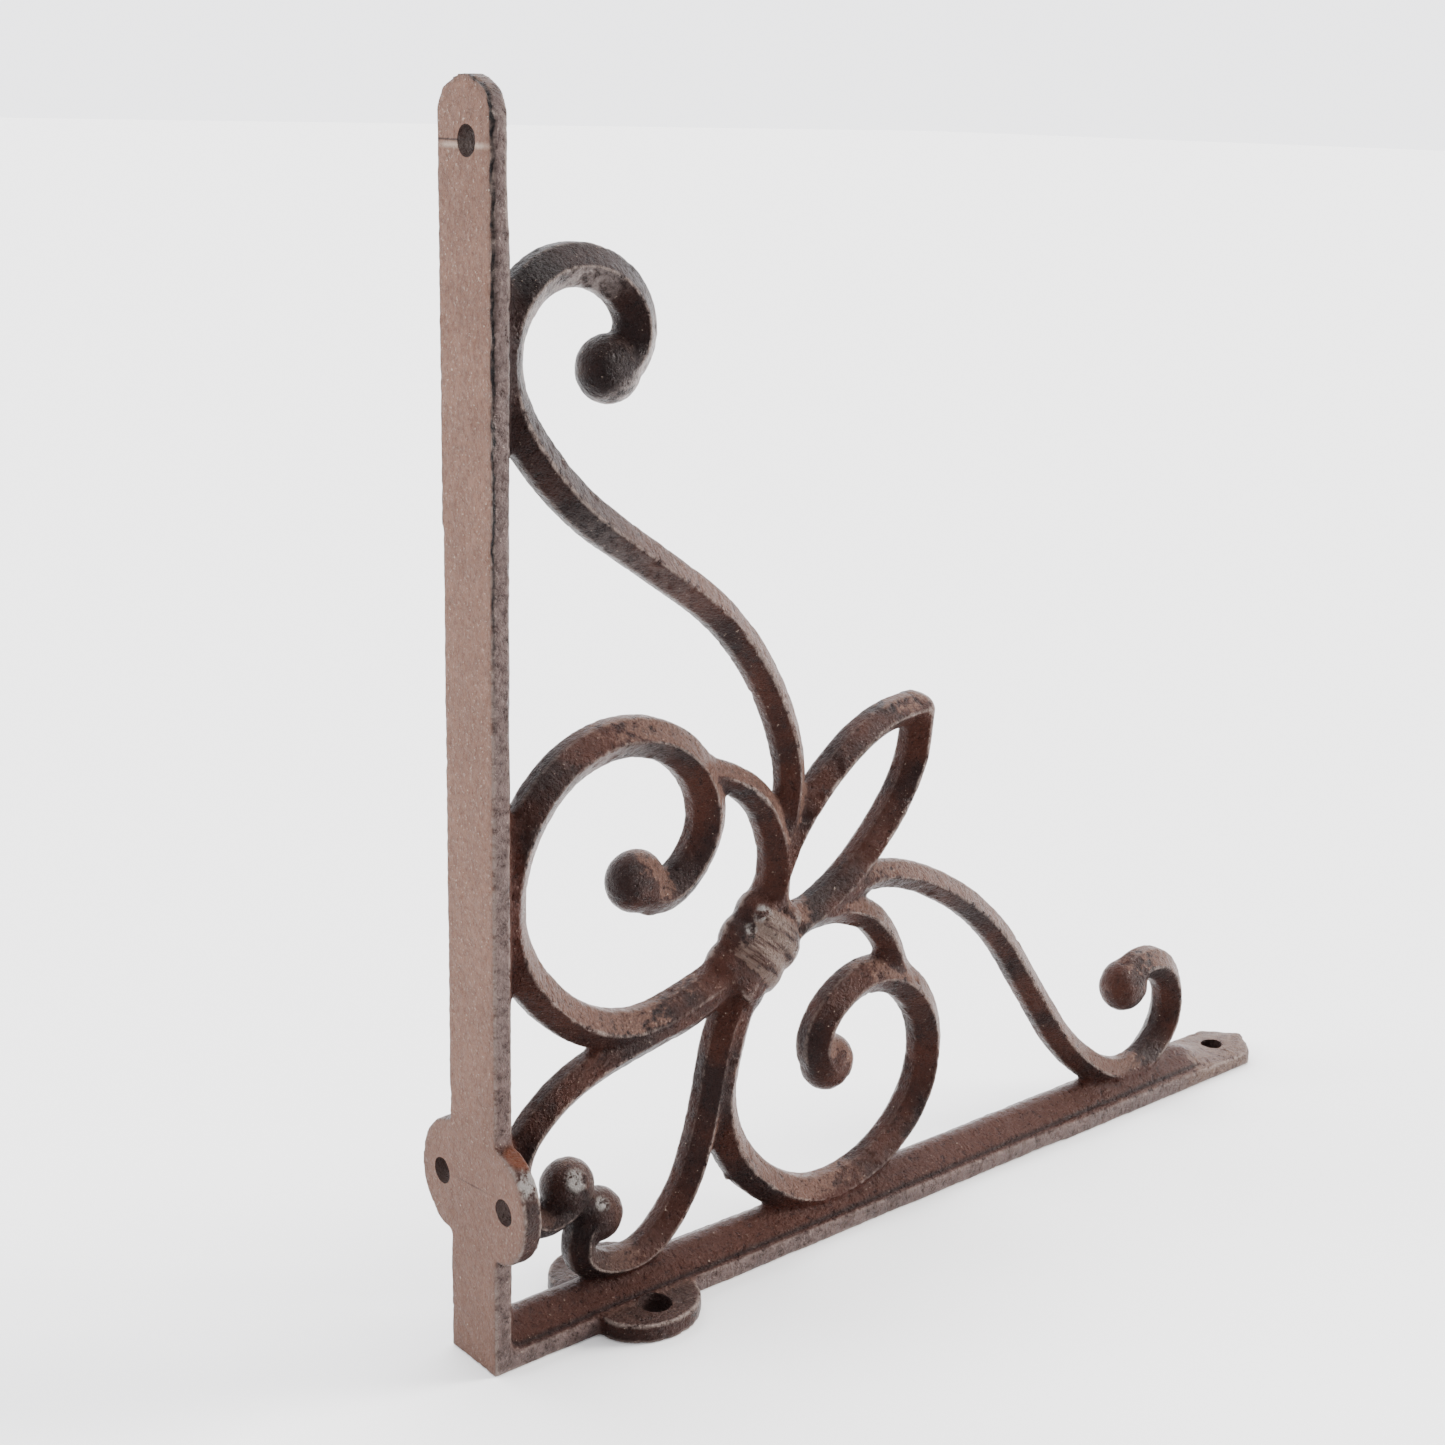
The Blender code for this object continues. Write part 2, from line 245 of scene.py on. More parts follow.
# The pale film gives way to painted shade towards the top of the wall half and in the corner by the stem
# eyes, and thins on the ears, and the outer faces are darker towards the bottom
LIT_FILM_END = (100.0, 175.0)
LIT_FILM_LOST_HIGH = 0.9
LIT_FILM_LOST_IN_CORNER = 0.7
LIT_FILM_LOST_ON_EARS = 0.45
DOWNWARD_DARKENING = (130.0, 0.0)

# Relief: each noise's size of features, seed and octaves, its height or depth, and what is lost of it
# on the outer faces
WAVE = (9.0, 1, 2)
WAVE_HEIGHT = 0.11
WAVE_LOST = 0.6
GRAIN = (1.7, 2, 3)
GRAIN_HEIGHT = 0.08
PITS = (2.6, 3, 2)
PIT_LEVEL = 0.34
PIT_DEPTH = 0.4
PITS_LOST = 0.5
RIPPLE = (1.3, 4, 2)
RIPPLE_HEIGHT = 0.16
RIPPLE_STRETCH = (0.7, 1.0, 0.7)
SEED_SHIFT = (17.3, 5.1, 9.7)
SKIN_SINK = 0.04

# The lip along the legs' edges: its place to each side, width, depth and foot
LIP_SIDE = 6.5
LIP_WIDTH = 0.45
LIP_DEPTH = 0.3
LIP_FOOT = 2.6
LIP_FACING = (0.3, 0.6)

# The mould seam along the wall leg: its place over the outer face, width, depth and where it grows
SEAM_PLACE = 0.5
SEAM_WIDTH = 0.35
SEAM_DEPTH = 0.4
SEAM_SIDE = 3.0
SEAM_RISE = (130.0, 200.0)
# Where the painted shade in the seam's groove grows, and that painted line's half width and wander
SEAM_DARK_RISE = (120.0, 190.0)
SEAM_HALF_WIDTH = 0.42
SEAM_WANDER = 0.3

# Marks on the wall leg: a fine crack across its ear, a nick beside its tip hole with painted shade in it and
# a painted highlight on its lip, and the places x, y, z and reach of the painted shade in the corner round
# the stem eyes and of a rust patch beside the ear
EAR_CRACK = 38.05
EAR_CRACK_FALL = 0.09
EAR_CRACK_REACH = 8.0
TIP_NICK = 230.4
MARK_HALF_WIDTH = 0.28
NICK_EDGE = (5.5, 6.5)
NICK_FADE = 1.0
PAINTED_SHADE_CORNER = (24.0, 0.0, 22.0, 17.0)
RUST_PATCH = (3.2, -11.0, 47.3, 3.0)

# Pale patches: bare metal beside the ear, and partly worn metal, partly painted highlights on the two stem
# eyes and on the collar
BARE_AND_HIGHLIGHT_PATCHES = [
    (2.6, -14.6, 43.8, 2.8),
    (21.5, -4.3, 34.0, 2.3),
    (28.5, -3.6, 26.3, 1.5),
    (68.3, -4.0, 79.0, 1.7),
    (65.3, -4.0, 76.3, 1.3),
]
STRANDS_START = 93.2

# Where the shelf leg's long edge rolls over into its tip plate
ROLLED_EDGE = (205.0, 216.0)


def to_scene(x, y, z):
    return ((x - LEG_LENGTH / 2) * MM, y * MM, z * MM)


def swapped(point):
    return (point[2], point[1], point[0])


# Shapes of the casting, each one closed body

def add_body(builder, rings):
    """A closed body through rings of points, capped at both ends, in a shared bmesh."""
    loops = [[builder.verts.new(to_scene(*point)) for point in ring] for ring in rings]
    count = len(loops[0])
    faces = []
    for near, far in zip(loops, loops[1:]):
        for k in range(count):
            following = (k + 1) % count
            faces.append(builder.faces.new((near[k], near[following], far[following], far[k])))
    faces.append(builder.faces.new(loops[0]))
    faces.append(builder.faces.new(list(reversed(loops[-1]))))
    bmesh.ops.recalc_face_normals(builder, faces=faces)


def heading_vector(degrees):
    return math.cos(math.radians(degrees)), math.sin(math.radians(degrees))


def piece_points(start, end):
    """Points on the cubic from one node to the next, close to an ellipse on a quarter turn."""
    x0, z0, heading0 = start
    x1, z1, heading1 = end
    turn = abs((heading1 - heading0 + 180) % 360 - 180)
    angle = math.radians(max(turn, LEAST_TURN))
    fullness = SHARP_FULLNESS
    if turn < SHARP_TURN:
        fullness = 4 / 3 * math.tan(angle / 4) / math.sin(angle)
    ux, uz = heading_vector(heading0)
    vx, vz = heading_vector(heading1)
    first = max(abs((x1 - x0) * ux + (z1 - z0) * uz), LEAST_REACH) * fullness
    second = max(abs((x1 - x0) * vx + (z1 - z0) * vz), LEAST_REACH) * fullness
    a, b = (x0, z0), (x0 + ux * first, z0 + uz * first)
    c, d = (x1 - vx * second, z1 - vz * second), (x1, z1)
    points = []
    for k in range(TRACE_STEPS):
        t = k / TRACE_STEPS
        s = 1 - t
        weights = (s ** 3, 3 * s * s * t, 3 * s * t * t, t ** 3)
        points.append(tuple(sum(w * p[i] for w, p in zip(weights, (a, b, c, d))) for i in (0, 1)))
    return points


def trace(nodes):
    points = []
    for start, end in zip(nodes, nodes[1:]):
        points += piece_points(start, end)
    points.append(nodes[-1][:2])
    return points


def stations(points):
    """Evenly spaced places on a traced line: x, z, heading and share of the length."""
    lengths = [0.0]
    for (x0, z0), (x1, z1) in zip(points, points[1:]):
        lengths.append(lengths[-1] + math.hypot(x1 - x0, z1 - z0))
    lengths = np.array(lengths)
    line = np.array(points)
    count = max(int(lengths[-1] / STATION_STEP), 4)
    places = np.linspace(0.0, lengths[-1], count + 1)
    xs = np.interp(places, lengths, line[:, 0])
    zs = np.interp(places, lengths, line[:, 1])
    headings = np.unwrap(np.arctan2(np.gradient(zs), np.gradient(xs)))
    return list(zip(xs, zs, headings, places / lengths[-1]))


def bar_section(half_width, half_depth):
    """A bar's section as (across, out): narrow flat sides, and an arris down the middle of each face."""
    side = half_depth * SIDE_SHARE
    return [
        (half_width, -side), (half_width, side), (0.0, half_depth),
        (-half_width, side), (-half_width, -side), (0.0, -half_depth),
    ]


def collar_section(half_width, half_depth):
    section = []
    for k in range(COLLAR_SIDES):
        c = math.cos(2 * math.pi * k / COLLAR_SIDES)
        s = math.sin(2 * math.pi * k / COLLAR_SIDES)
        across = math.copysign(abs(c) ** (2 / COLLAR_POWER), c) * half_width
        out = math.copysign(abs(s) ** (2 / COLLAR_POWER), s) * half_depth
        section.append((across, out))
    return section


def placed(section, x, z, heading, skew=0.0):
    """A section set square to its bar at x, z, or leaned along it by a skew."""
    ux, uz = math.cos(heading), math.sin(heading)
    ring = []
    for across, out in section:
        along = across * skew
        ring.append((x - uz * across + ux * along, out, z + ux * across + uz * along))
    return ring


def add_bar(builder, shape, other_half):
    width, depth = shape["width"], shape["depth"]
    rings = []
    for x, z, heading, share in stations(trace(shape["nodes"])):
        half_width = width[0] + (width[1] - width[0]) * share
        half_depth = depth[0] + (depth[1] - depth[0]) * share
        ring = placed(bar_section(half_width, half_depth), x, z, heading)
        rings.append([swapped(point) for point in ring] if other_half else ring)
    add_body(builder, rings)


def add_eye(builder, x, z, radius, half_depth, other_half):
    """A button eye: a ball pressed flatter than it is wide."""
    ball = bmesh.ops.create_uvsphere(
        builder, u_segments=BALL_SIDES, v_segments=BALL_RINGS, radius=1.0)
    for vertex in ball["verts"]:
        u, v, w = vertex.co
        point = (x + radius * u, half_depth * w, z + radius * v)
        vertex.co = to_scene(*(swapped(point) if other_half else point))
    faces = list({face for vertex in ball["verts"] for face in vertex.link_faces})
    bmesh.ops.recalc_face_normals(builder, faces=faces)


def add_collar(builder):
    """The bound collar: three round beads with grooves between, wound slightly askew."""
    rings = []
    for distance in np.linspace(COLLAR_START, COLLAR_END, COLLAR_RINGS):
        half_width, half_depth = 0.0, 0.0
        for middle, bead_width, bead_depth in BEADS:
            share = min(abs(distance - middle) / BEAD_HALF_LENGTH, 1.0)
            swell = 1 - BEAD_GROOVE * (1 - math.sqrt(1 - share * share))
            half_width = max(half_width, bead_width * swell)
            half_depth = max(half_depth, bead_depth * swell)
        side = distance / math.sqrt(2)
        section = collar_section(half_width, half_depth)
        rings.append(placed(section, side, side, math.pi / 4, COLLAR_SKEW))
    add_body(builder, rings)


def eased(u, start, end):
    """From 0 at the start to 1 at the end, with no kink at either."""
    share = min(max((u - start) / (end - start), 0.0), 1.0)
    return 3 * share ** 2 - 2 * share ** 3


def plain_half_width(u):
    """Half the leg's width without its ear and tip. It grows a little towards the tip."""
    return LEG_HALF_WIDTH + (TIP_HALF_WIDTH - LEG_HALF_WIDTH) * eased(u, WIDENING_START, CREST_END)


def leg_half_width(u, tip_power):
    plain = plain_half_width(u)
    share = (u - LEG_LENGTH) / TIP_ROUND_LENGTH + 1
    if share > 0:
        arch = max(1 - min(share, 1.0) ** tip_power, 0.0) ** (1 / tip_power)
        return max(plain * arch, TIP_SMALLEST_HALF_WIDTH)
    share = abs(u - EAR_CENTRE) / EAR_HALF_LENGTH
    if share < 1:
        return plain + (EAR_REACH - plain) * math.sqrt(1 - share * share)
    return plain


def leg_section(u, tip_power):
    """Half section of a leg as (y, height over the outer face), from the outer face to the crest."""
    plain = plain_half_width(u)
    half_width = leg_half_width(u, tip_power)
    fall = eased(u, CREST_END, PLATE_START)
    crest = CREST_HEIGHT + (PLATE_HEIGHT - CREST_HEIGHT) * fall
    side = EDGE_THICKNESS + (PLATE_EDGE_THICKNESS - EDGE_THICKNESS) * fall
    slope = (crest - side) / (plain - CREST_HALF_WIDTH)
    narrow = min(half_width / plain, 1.0)
    in_ear = half_width > plain
    return [
        (half_width, 0.0),
        (half_width, EAR_THICKNESS if in_ear else side),
        ((plain - SHOULDER_INSET) * narrow, side + SHOULDER_INSET * slope),
        (CREST_HALF_WIDTH * narrow, crest),
    ]


def full_section(half):
    return [(y, h) for y, h in half] + [(-y, h) for y, h in reversed(half)]


def leg_positions():
    ear = []
    for k in range(EAR_STEPS + 1):
        ear.append(EAR_CENTRE - EAR_HALF_LENGTH * math.cos(math.pi * k / EAR_STEPS))
    fall = [CREST_END + (PLATE_START - CREST_END) * k / FALL_STEPS for k in range(FALL_STEPS + 1)]
    tip = []
    for k in range(TIP_STEPS + 1):
        share = math.sin(math.pi / 2 * k / TIP_STEPS)
        tip.append(LEG_LENGTH - TIP_ROUND_LENGTH * (1 - share))
    return ear + LEG_MIDDLE + fall + tip


def add_legs(builder):
    """Both legs as one angle, mitred at the corner."""
    positions = leg_positions()
    rings = []
    for u in reversed(positions):
        rings.append([(h, y, u) for y, h in full_section(leg_section(u, WALL_TIP_POWER))])
    rings.append([(h, y, h) for y, h in full_section(leg_section(0.0, WALL_TIP_POWER))])
    for u in positions:
        rings.append([(u, y, h) for y, h in full_section(leg_section(u, SHELF_TIP_POWER))])
    add_body(builder, rings)


def add_cutter(builder, u, y, profile, other_half):
    rings = []
    for radius, height in profile:
        ring = []
        for k in range(HOLE_SIDES):
            angle = 2 * math.pi * (k + 0.5) / HOLE_SIDES
            point = (height, y + radius * math.cos(angle), u + radius * math.sin(angle))
            ring.append(swapped(point) if other_half else point)
        rings.append(ring)
    add_body(builder, rings)


def plain_hole(top):
    return [(TIP_HOLE_RADIUS, -CUTTER_OVERRUN), (TIP_HOLE_RADIUS, top + CUTTER_OVERRUN)]


def countersunk_hole(top):
    return [
        (EAR_HOLE_RADIUS, -CUTTER_OVERRUN), (EAR_HOLE_RADIUS, top - COUNTERSINK_DEPTH),
        (COUNTERSINK_RADIUS, top), (COUNTERSINK_RADIUS, top + CUTTER_OVERRUN),
    ]


def as_object(name, builder):
    mesh = bpy.data.meshes.new(name)
    builder.to_mesh(mesh)
    builder.free()
    shape = bpy.data.objects.new(name, mesh)
    bpy.context.collection.objects.link(shape)
    return shape


def rough_bodies():
    builder = bmesh.new()
    add_legs(builder)
    add_collar(builder)
    for other_half, bars, eyes in ((False, BARS, EYES), (True, SHELF_BARS, SHELF_EYES)):
        for shape in bars.values():
            add_bar(builder, shape, other_half)
        for place in eyes.values():
            add_eye(builder, *place, other_half)
    add_eye(builder, *LEAF_POINT, False)
    for place in LUMPS.values():
        add_eye(builder, *place, False)
    return as_object("casting", builder)


def hole_cutters():
    builder = bmesh.new()
    for other_half, place in ((False, WALL_TIP_HOLE), (True, SHELF_TIP_HOLE)):
        add_cutter(builder, *place, plain_hole(PLATE_HEIGHT), other_half)
        for y in (-EAR_HOLE_OFFSET, EAR_HOLE_OFFSET):
            add_cutter(builder, EAR_HOLE, y, countersunk_hole(EAR_HOLE_TOP), other_half)
    return as_object("hole_cutters", builder)


def apply_modifiers(shape):
    graph = bpy.context.evaluated_depsgraph_get()
    made = bpy.data.meshes.new_from_object(shape.evaluated_get(graph))
    shape.modifiers.clear()
    old = shape.data
    shape.data = made
    bpy.data.meshes.remove(old)


def fuse(shape):
    """One closed skin round all the bodies."""
    remesh = shape.modifiers.new("fuse", "REMESH")
    remesh.mode = "VOXEL"
    remesh.voxel_size = VOXEL * MM
    apply_modifiers(shape)


class Skin:
    """The casting's skin as arrays, in millimetres, with its smoothing and relief."""

    def __init__(self, mesh):
        count = len(mesh.vertices)
        flat = np.empty(count * 3)
        mesh.vertices.foreach_get("co", flat)
        self.points = flat.reshape(-1, 3) / MM
        ends = np.empty(len(mesh.edges) * 2, dtype=np.int64)
        mesh.edges.foreach_get("vertices", ends)
        self.ends = ends.reshape(-1, 2)
        self.degree = np.bincount(self.ends.ravel(), minlength=count)[:, None]
        mesh.calc_loop_triangles()
        corners = np.empty(len(mesh.loop_triangles) * 3, dtype=np.int64)
        mesh.loop_triangles.foreach_get("vertices", corners)
        self.triangles = corners.reshape(-1, 3)

    def average(self, values):
        """Each point's mean over its neighbours."""
        a, b = self.ends[:, 0], self.ends[:, 1]
        total = np.empty_like(values)
        for k in range(values.shape[1]):
            total[:, k] = (np.bincount(a, weights=values[b, k], minlength=len(values))
                           + np.bincount(b, weights=values[a, k], minlength=len(values)))
        return total / self.degree

    def normals(self):
        p = self.points
        a, b, c = (p[self.triangles[:, k]] for k in range(3))
        cross = np.cross(b - a, c - a)
        result = np.empty_like(p)
        for k in range(3):
            column = np.zeros(len(p))
            for corner in range(3):
                column += np.bincount(self.triangles[:, corner], weights=cross[:, k], minlength=len(p))
            result[:, k] = column
        return result / np.maximum(np.linalg.norm(result, axis=1, keepdims=True), 1e-12)

    def soften(self, rounds):
        for _ in range(rounds):
            self.points += (self.average(self.points) - self.points) * SMOOTHING_SHARE

    def fill_hollows(self, rounds, share):
        """Round out only the inner corners, as fillets left by the moulder."""
        for _ in range(rounds):
            normals = self.normals()
            pull = ((self.average(self.points) - self.points) * normals).sum(axis=1, keepdims=True)
            self.points += np.maximum(pull, 0.0) * normals * share[:, None]

    def spread(self, values, rounds):
        """A zone's values with its border softened."""
        values = values[:, None].astype(float)
        for _ in range(rounds):
            values = values + (self.average(values) - values) * SMOOTHING_SHARE
        return values[:, 0]

    def arris(self, rounds):
        """How far each point stands out of its surroundings: over 0 on arrises, under 0 in hollows."""
        smooth = self.points.copy()
        for _ in range(rounds):
            smooth += (self.average(smooth) - smooth) * SMOOTHING_SHARE
        return ((self.points - smooth) * self.normals()).sum(axis=1)


def field(points, size, seed, octaves):
    """Smooth noise from about -1 to 1, with features of about the given size in millimetres."""
    shift = Vector([seed * step for step in SEED_SHIFT])
    values = np.empty(len(points))
    for k, point in enumerate(points / size):
        values[k] = noise.fractal(Vector(point) + shift, 1.0, 2.0, octaves)
    return values


def store(mesh, name, values):
    layer = mesh.attributes.new(name, "FLOAT", "POINT")
    layer.data.foreach_set("value", values.astype(np.float32))


def ramp(values, low, high):
    """From 0 where the values are low to 1 where they are high."""
    return np.clip((values - low) / (high - low), 0.0, 1.0)


def near(x, y, z, patch):
    """1 at the middle of a patch, falling off to 0 round it."""
    px, py, pz, reach = patch
    return np.exp(-((x - px) ** 2 + (y - py) ** 2 + (z - pz) ** 2) / reach ** 2)


def dress(shape, box):
    """Soften, fillet and roughen the skin, and note where it is worn, hollow or flat, and where light and
    shade are painted.
    """
    skin = Skin(shape.data)
    skin.soften(SOFTEN_ROUNDS)
    x, y, z = skin.points[:, 0] + LEG_LENGTH / 2, skin.points[:, 1], skin.points[:, 2]
    diagonal, aside = (x + z) / math.sqrt(2), np.abs(x - z) / math.sqrt(2)
    in_collar = (diagonal > COLLAR_START) * (diagonal < COLLAR_END) * (aside < COLLAR_SIDE)
    in_collar = skin.spread(in_collar, BORDER_ROUNDS["collar"])
    skin.fill_hollows(FILLET_ROUNDS, FILLET_SHARE * (1 - COLLAR_SPARED * in_collar))
    normals = skin.normals()
    inward = np.maximum(normals[:, 0], normals[:, 2])
    height, along, side = np.minimum(x, z), np.maximum(x, z), np.abs(y)
    outer_face = np.maximum(ramp(-normals[:, 0], *FACE_FACING) * (x < FACE_SKIN),
                            ramp(-normals[:, 2], *FACE_FACING) * (z < FACE_SKIN))
    in_ear = ramp(side, *EAR_SIDE) * (height < EAR_TOP) * (along < EAR_ZONE_END)
    strip = ramp(np.abs(normals[:, 1]), *SIDE_FACING) * (side > STRIP_SIDE) * (height < STRIP_TOP)
    rolled = ramp(x, *ROLLED_EDGE) * (z < PLATE_TOP)
    plate = (along > PLATE_ZONE_START) * (height < PLATE_TOP) * ramp(inward, *SIDE_FACING)
    plate = np.maximum(plate, rolled * strip)
    strip *= (1 - in_ear) * (1 - rolled)
    slope = (height < SLOPE_TOP) * (side < SLOPE_SIDE) * (1 - outer_face)
    arris = skin.arris(ARRIS_ROUNDS)
    hollow = skin.arris(HOLLOW_ROUNDS)
    # Pale film on the facets facing x and z, partly dust and partly painted light from the key, and on the
    # collar's lit side
    up = ramp(LIT_FILM_FACING[0] * normals[:, 0] + LIT_FILM_FACING[1] * normals[:, 2], *LIT_FILM_FACING_RANGE)
    strands = in_collar * ramp(diagonal, STRANDS_START, STRANDS_START + 1)
    up = np.maximum(up, strands * ramp(x - z, *COLLAR_LIT_SIDE))
    # Painted reflection of the white floor on the facets facing x and down, growing towards the top of the
    # wall half
    floor_reflection = ramp(FLOOR_REFLECTION_FACING[0] * normals[:, 0] + FLOOR_REFLECTION_FACING[1] * normals[:, 2], *FLOOR_REFLECTION_FACING_RANGE)
    floor_reflection *= ramp(z - x, *FLOOR_REFLECTION_RISE) * (height > FLOOR_REFLECTION_LEAST_HEIGHT)
    flat = skin.spread(outer_face, BORDER_ROUNDS["flat"])
    plate = skin.spread(plate, BORDER_ROUNDS["plate"])
    strip = skin.spread(strip, BORDER_ROUNDS["strip"])
    slope = skin.spread(slope, BORDER_ROUNDS["slope"])

    on_leg = (height < LEG_TOP) * (1 - in_ear) * (side < LEG_SIDE)
    crease = on_leg * np.exp(-((side - LIP_SIDE) / LIP_WIDTH) ** 2) * (height > LIP_FOOT)
    crease *= (z < PLATE_START) * (x < ROLLED_EDGE[1]) * ramp(inward, *LIP_FACING)
    seam = np.exp(-((x - SEAM_PLACE) / SEAM_WIDTH) ** 2) * (side > SEAM_SIDE) * (1 - in_ear)
    seam *= ramp(z, *SEAM_RISE)
    wave = field(skin.points, *WAVE) * WAVE_HEIGHT * (1 - WAVE_LOST * flat)
    grain = field(skin.points, *GRAIN) * GRAIN_HEIGHT
    pits = np.maximum(field(skin.points, *PITS) - PIT_LEVEL, 0.0) * PIT_DEPTH * (1 - PITS_LOST * flat)
    ripple = field(skin.points * np.array(RIPPLE_STRETCH), *RIPPLE) * RIPPLE_HEIGHT * strip
    relief = wave + grain - pits + ripple
    relief -= crease * LIP_DEPTH + seam * SEAM_DEPTH
    skin.points += normals * (relief[:, None] - SKIN_SINK)

    shape.data.vertices.foreach_set("co", (skin.points * MM).ravel())
    keep_inside(shape, box)
    # Painted shade: black brown takes the place of the pale film towards the top of the wall half and in the
    # corner by the stem eyes, and the film thins on the ears
    lit_film = 1 - LIT_FILM_LOST_HIGH * ramp(z - x, *LIT_FILM_END)
    lit_film *= 1 - LIT_FILM_LOST_IN_CORNER * near(x, y, z, PAINTED_SHADE_CORNER)
    lit_film *= 1 - LIT_FILM_LOST_ON_EARS * in_ear
    notes = {
        "arris": skin.spread(arris, BORDER_ROUNDS["arris"]),
        "hollow": hollow,
        "flat": flat,
        "plate": plate,
        "strip": strip,
        "slope": slope,
        "up": skin.spread(up, BORDER_ROUNDS["up"]),
        "crease": skin.spread(np.maximum(crease, seam), BORDER_ROUNDS["crease"]),
        "collar": strands,
        "lit_film": lit_film,
        "floor_reflection": skin.spread(floor_reflection, BORDER_ROUNDS["floor_reflection"]),
        # The wall leg's outer face is darker towards the bottom
        "low": ramp(z, *DOWNWARD_DARKENING) * (z > x),
        "bare_and_highlight": np.max([near(x, y, z, patch) for patch in BARE_AND_HIGHLIGHT_PATCHES], axis=0),
        "rust": near(x, y, z, RUST_PATCH),
    }
    for name, values in notes.items():
        store(shape.data, name, values)
    shape.data.update()


def lighten(shape):
    """Fewer triangles where the skin is plain."""
    count = sum(len(polygon.vertices) - 2 for polygon in shape.data.polygons)
    thin = shape.modifiers.new("lighten", "DECIMATE")
    thin.ratio = min(MOST_TRIANGLES / count, 1.0)
    thin.use_collapse_triangulate = True
    apply_modifiers(shape)
    print("skin", count, "triangles, kept", len(shape.data.polygons))


def keep_inside(shape, box):
    """No point of the skin outside the solid's own box."""
    low, high = (np.array(corner) for corner in box)
    flat = np.empty(len(shape.data.vertices) * 3)
    shape.data.vertices.foreach_get("co", flat)
    points = np.clip(flat.reshape(-1, 3), low + BOX_MARGIN * MM, high - BOX_MARGIN * MM)
    shape.data.vertices.foreach_set("co", points.ravel())
    shape.data.update()


def mark_faces(shape, name, value):
    layer = shape.data.attributes.new(name, "FLOAT", "FACE")
    layer.data.foreach_set("value", np.full(len(shape.data.polygons), value, dtype=np.float32))


def skin_notes(shape):
    """The values noted on the skin, by name, and a tree to find the nearest point's."""
    notes = {}
    for layer in shape.data.attributes:
        if layer.domain == "POINT" and layer.data_type == "FLOAT":
            notes[layer.name] = np.empty(len(layer.data), dtype=np.float32)
            layer.data.foreach_get("value", notes[layer.name])
    tree = KDTree(len(shape.data.vertices))
    for vertex in shape.data.vertices:
        tree.insert(vertex.co, vertex.index)
    tree.balance()
    return notes, tree


def carry_notes(shape, notes, tree):
    """Give the new points on the rims of the holes the values of the skin round them."""
    bore = shape.data.attributes["bore"].data
    rims = {corner for polygon in shape.data.polygons if bore[polygon.index].value > 0.5
            for corner in polygon.vertices}
    nearest = {rim: tree.find(shape.data.vertices[rim].co)[1] for rim in rims}
    for name, values in notes.items():
        layer = shape.data.attributes[name]
        for rim, old in nearest.items():
            layer.data[rim].value = values[old]


def drill(shape, cutters):
    """Cut the screw holes, with their walls marked as bore."""
    notes, tree = skin_notes(shape)
    mark_faces(shape, "bore", 0.0)
    mark_faces(cutters, "bore", 1.0)
    cut = shape.modifiers.new("drill", "BOOLEAN")
    cut.operation = "DIFFERENCE"
    cut.solver = "EXACT"
    cut.object = cutters
    apply_modifiers(shape)
    bpy.data.objects.remove(cutters, do_unlink=True)
    carry_notes(shape, notes, tree)


# Material

class Nodes:
    """Short calls for building a material's nodes."""

    def __init__(self, material):
        material.use_nodes = True
        self.tree = material.node_tree
        self.shader = self.tree.nodes["Principled BSDF"]

    def link(self, source, target):
        self.tree.links.new(source, target)

    def put(self, socket, value):
        """A socket fed by another, or set to a plain value."""
        if isinstance(value, bpy.types.NodeSocket):
            self.link(value, socket)
        else:
            socket.default_value = value

    def attribute(self, name):
        node = self.tree.nodes.new("ShaderNodeAttribute")
        node.attribute_name = name
        return node.outputs["Fac"]

    def noise(self, place, scale, detail, roughness):
        node = self.tree.nodes.new("ShaderNodeTexNoise")
        node.inputs["Scale"].default_value = scale
        node.inputs["Detail"].default_value = detail
        node.inputs["Roughness"].default_value = roughness
        self.link(place, node.inputs["Vector"])
        return node.outputs["Fac"]

    def math(self, operation, a, b=0.0, clamp=False):
        node = self.tree.nodes.new("ShaderNodeMath")
        node.operation = operation
        node.use_clamp = clamp
        self.put(node.inputs[0], a)
        self.put(node.inputs[1], b)
        return node.outputs[0]

    def along(self, place, direction):
        """The place's distance in metres along a direction, in the casting's own frame."""
        node = self.tree.nodes.new("ShaderNodeVectorMath")
        node.operation = "DOT_PRODUCT"
        self.link(place, node.inputs[0])
        node.inputs[1].default_value = direction
        return node.outputs["Value"]

    def joined(self, x, y, z):
        node = self.tree.nodes.new("ShaderNodeCombineXYZ")
        for socket, value in zip(node.inputs, (x, y, z)):
            self.put(socket, value)
        return node.outputs["Vector"]

    def line(self, value, middle, half_width):
        """1 on a thin line where the value is at its middle, and 0 beside it. In millimetres."""
        off = self.math("ABSOLUTE", self.math("SUBTRACT", value, middle * MM))
        return self.span(off, 0.0, half_width * MM, 1.0, 0.0)

    def span(self, value, low, high, out_low, out_high):
        """From one result where the value is low to another where it is high, and no further."""
        node = self.tree.nodes.new("ShaderNodeMapRange")
        self.put(node.inputs["Value"], value)
        node.inputs["From Min"].default_value = low
        node.inputs["From Max"].default_value = high
        node.inputs["To Min"].default_value = out_low
        node.inputs["To Max"].default_value = out_high
        return node.outputs["Result"]

    def mix(self, share, a, b):
        node = self.tree.nodes.new("ShaderNodeMix")
        node.data_type = "RGBA"
        self.put(node.inputs["Factor"], share)
        self.put(node.inputs["A"], a)
        self.put(node.inputs["B"], b)
        return node.outputs["Result"]

    def bump(self, height, distance, strength):
        node = self.tree.nodes.new("ShaderNodeBump")
        node.inputs["Strength"].default_value = strength
        node.inputs["Distance"].default_value = distance
        self.link(height, node.inputs["Height"])
        return node.outputs["Normal"]


